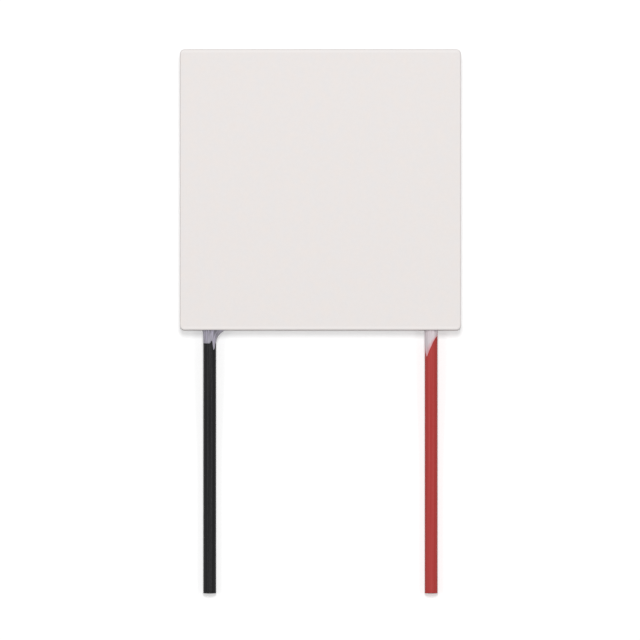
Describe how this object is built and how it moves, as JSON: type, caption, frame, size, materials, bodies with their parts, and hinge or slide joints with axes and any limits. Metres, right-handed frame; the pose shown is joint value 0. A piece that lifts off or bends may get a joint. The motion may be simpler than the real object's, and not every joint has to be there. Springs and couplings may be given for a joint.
{
  "type": "thermoelectric cooling module",
  "caption": "Flat square thermoelectric cooler: white ceramic plates around rows of semiconductor pellets, sealed at the edge, with a short red lead and a short black lead.",
  "frame": {"origin": "centre of the hot plate's outer face, which lies on the surface", "axes": "+Z out of the cold plate, through the thickness; the leads leave towards -Y, the red one at +X and the black one at -X"},
  "size_m": [0.04, 0.0774, 0.0033],
  "materials": {
    "alumina": "satin",
    "n_telluride": "satin",
    "p_telluride": "satin",
    "copper": "satin",
    "solder": "satin",
    "tinned_copper": "satin",
    "silicone": "satin",
    "red_silicone_film": "satin",
    "black_silicone_film": "satin",
    "red_pvc": "satin",
    "black_pvc": "satin"
  },
  "bodies": {
    "root": {"hot_plate": "alumina", "cold_plate": "alumina", "edge_seal": "silicone", "hot_solder": "solder", "cold_solder": "solder", "red_terminal_tab": "copper", "red_lead_solder": "solder", "red_lead_core": "tinned_copper", "red_lead_insulation": "red_pvc", "red_lead_seal": "red_silicone_film", "black_terminal_tab": "copper", "black_lead_solder": "solder", "black_lead_core": "tinned_copper", "black_lead_insulation": "black_pvc", "black_lead_seal": "black_silicone_film", "n_pellets_1": "n_telluride", "n_pellets_2": "n_telluride", "n_pellets_3": "n_telluride", "n_pellets_4": "n_telluride", "n_pellets_5": "n_telluride", "n_pellets_6": "n_telluride", "n_pellets_7": "n_telluride", "n_pellets_8": "n_telluride", "p_pellets_1": "p_telluride", "p_pellets_2": "p_telluride", "p_pellets_3": "p_telluride", "p_pellets_4": "p_telluride", "p_pellets_5": "p_telluride", "p_pellets_6": "p_telluride", "p_pellets_7": "p_telluride", "p_pellets_8": "p_telluride", "hot_tabs_1": "copper", "hot_tabs_2": "copper", "hot_tabs_3": "copper", "hot_tabs_4": "copper", "hot_tabs_5": "copper", "hot_tabs_6": "copper", "hot_tabs_7": "copper", "hot_tabs_8": "copper", "cold_tabs_1": "copper", "cold_tabs_2": "copper", "cold_tabs_3": "copper", "cold_tabs_4": "copper", "cold_tabs_5": "copper", "cold_tabs_6": "copper", "cold_tabs_7": "copper", "cold_tabs_8": "copper"}
  },
  "joints": []
}
